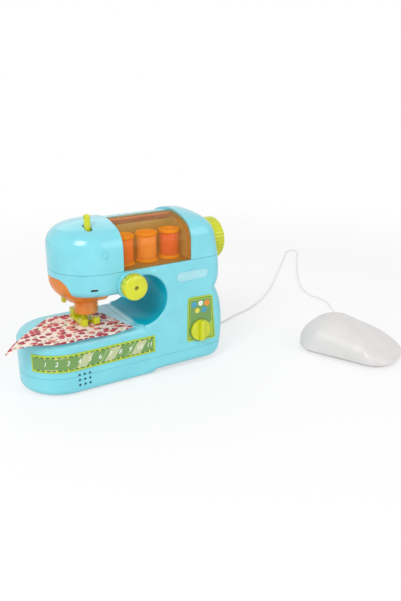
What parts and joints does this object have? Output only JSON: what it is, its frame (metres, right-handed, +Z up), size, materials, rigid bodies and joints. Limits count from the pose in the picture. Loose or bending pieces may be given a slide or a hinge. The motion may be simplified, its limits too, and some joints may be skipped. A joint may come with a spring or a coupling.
{
  "type": "toy sewing machine",
  "caption": "Toy sewing machine with a round-ended bed, open throat, clear spool window, handwheel, lifting presser foot, sliding needle bar and a corded foot pedal.",
  "frame": {"origin": "on the flat of the underside, below the middle of the base, on the floor", "axes": "+X to the right along the arm, towards the handwheel, +Y to the back, +Z up"},
  "size_m": [0.5367, 0.3868, 0.1616],
  "materials": {
    "aqua_plastic": "smooth moulded aqua",
    "lime_plastic": "smooth moulded lime",
    "orange_clear": "clear orange plastic",
    "spool_orange": "smooth moulded orange yellow",
    "thread_coral": "wound thread",
    "thread_peach": "wound thread",
    "thread_crimson": "wound thread",
    "steel": "plain",
    "white_plastic": "smooth moulded white",
    "cord_white": "soft jacket",
    "black_rubber": "matt",
    "dark_plastic": "matt",
    "panel_print": "printed foil",
    "ruler_print": "printed foil",
    "board_green": "lacquered board",
    "cell_wrap": "printed sleeve",
    "cotton_cloth": "printed cotton"
  },
  "bodies": {
    "machine": {"front_shell": "aqua_plastic", "rear_shell": "aqua_plastic", "top_cap": "aqua_plastic", "base_plate": "aqua_plastic", "battery_door": "aqua_plastic", "door_screw": "steel", "foot_pads": "black_rubber", "case_screws": "steel", "deck_plate": "aqua_plastic", "light_cover": "orange_clear", "needle_guard": "orange_clear", "lamp": "white_plastic", "head_bracket": "steel", "take_up_pin": "steel", "presser_spring": "steel", "lifter_pin": "steel", "shaft_bushes": "white_plastic", "drive_belt": "black_rubber", "motor": "steel", "motor_mount": "white_plastic", "selector_switch": "dark_plastic", "panel_plate": "panel_print", "ruler_label": "ruler_print", "oval_plaque": "aqua_plastic", "circuit_board": "board_green", "speaker": "dark_plastic", "batteries": "cell_wrap", "battery_contacts": "steel", "window_pin": "steel", "machine_gland": "cord_white", "cord": "cord_white", "pedal_gland": "cord_white", "pedal_base": "white_plastic", "pedal_pin": "steel", "pedal_spring": "steel", "pedal_switch": "dark_plastic", "pedal_feet": "black_rubber", "fabric_piece": "cotton_cloth"},
    "drive": {"handwheel": "lime_plastic", "main_shaft": "steel", "shaft_pulley": "white_plastic", "crank_disc": "steel"},
    "motor_pulley": {"motor_pulley": "white_plastic"},
    "needle": {"needle_bar": "steel", "needle": "steel"},
    "take_up": {"take_up_lever": "lime_plastic"},
    "presser": {"presser_bar": "steel", "presser_foot": "lime_plastic"},
    "lifter": {"lifter_lever": "lime_plastic"},
    "knob": {"thread_knob": "lime_plastic", "knob_spindle": "white_plastic"},
    "dial": {"selector_dial": "lime_plastic"},
    "cover": {"window_cover": "orange_clear"},
    "spool_left": {"spool_left": "spool_orange", "thread_left": "thread_coral"},
    "spool_middle": {"spool_middle": "spool_orange", "thread_middle": "thread_peach"},
    "spool_right": {"spool_right": "spool_orange", "thread_right": "thread_crimson"},
    "pedal_top": {"pedal_top": "white_plastic"}
  },
  "joints": [
    {"name": "wheel_turn", "type": "hinge", "parent": "machine", "child": "drive", "pos_m": [0.06, 0, 0.1175], "axis": [1, 0, 0], "continuous": true},
    {"name": "motor_spin", "type": "hinge", "parent": "machine", "child": "motor_pulley", "pos_m": [0.079, 0, 0.0875], "axis": [1, 0, 0], "continuous": true},
    {"name": "needle_slide", "type": "slide", "parent": "machine", "child": "needle", "axis": [0, 0, 1], "range_m": [0, 0.008]},
    {"name": "take_up_rock", "type": "hinge", "parent": "machine", "child": "take_up", "pos_m": [-0.0345, -0.02, 0.128], "axis": [1, 0, 0], "range_deg": [0, 8]},
    {"name": "lifter_swing", "type": "hinge", "parent": "machine", "child": "lifter", "pos_m": [-0.0228, 0.006, 0.094], "axis": [0, 1, 0], "range_deg": [0, 20]},
    {"name": "presser_slide", "type": "slide", "parent": "machine", "child": "presser", "axis": [0, 0, 1], "range_m": [0, 0.004], "deforming": ["presser_spring"]},
    {"name": "knob_turn", "type": "hinge", "parent": "machine", "child": "knob", "pos_m": [-0.004, -0.048, 0.097], "axis": [0, -1, 0], "range_deg": [-150, 150]},
    {"name": "dial_turn", "type": "hinge", "parent": "machine", "child": "dial", "pos_m": [0.069, -0.042, 0.03775], "axis": [0, -1, 0], "range_deg": [-60, 60]},
    {"name": "cover_swing", "type": "hinge", "parent": "machine", "child": "cover", "pos_m": [0.025, 0.0005, 0.1484], "axis": [-1, 0, 0], "range_deg": [0, 75]},
    {"name": "spool_left_turn", "type": "hinge", "parent": "machine", "child": "spool_left", "pos_m": [0.0008, -0.0165, 0.124], "axis": [0, 0, 1], "continuous": true},
    {"name": "spool_middle_turn", "type": "hinge", "parent": "machine", "child": "spool_middle", "pos_m": [0.025, -0.0165, 0.124], "axis": [0, 0, 1], "continuous": true},
    {"name": "spool_right_turn", "type": "hinge", "parent": "machine", "child": "spool_right", "pos_m": [0.0492, -0.0165, 0.124], "axis": [0, 0, 1], "continuous": true},
    {"name": "pedal_press", "type": "hinge", "parent": "machine", "child": "pedal_top", "pos_m": [0.23483, -0.12706, 0.0085], "axis": [-0.9135, -0.4067, 0], "range_deg": [0, 1.8], "stiffness_Nm_per_rad": 0.6, "springref_deg": -6.88, "deforming": ["pedal_spring"]}
  ],
  "couplings": [
    {"joint": "motor_spin", "follows": "wheel_turn", "ratio": 3.25},
    {"joint": "take_up_rock", "follows": "needle_slide", "rad_per_m": 17.45},
    {"joint": "lifter_swing", "follows": "presser_slide", "rad_per_m": 87.2}
  ]
}
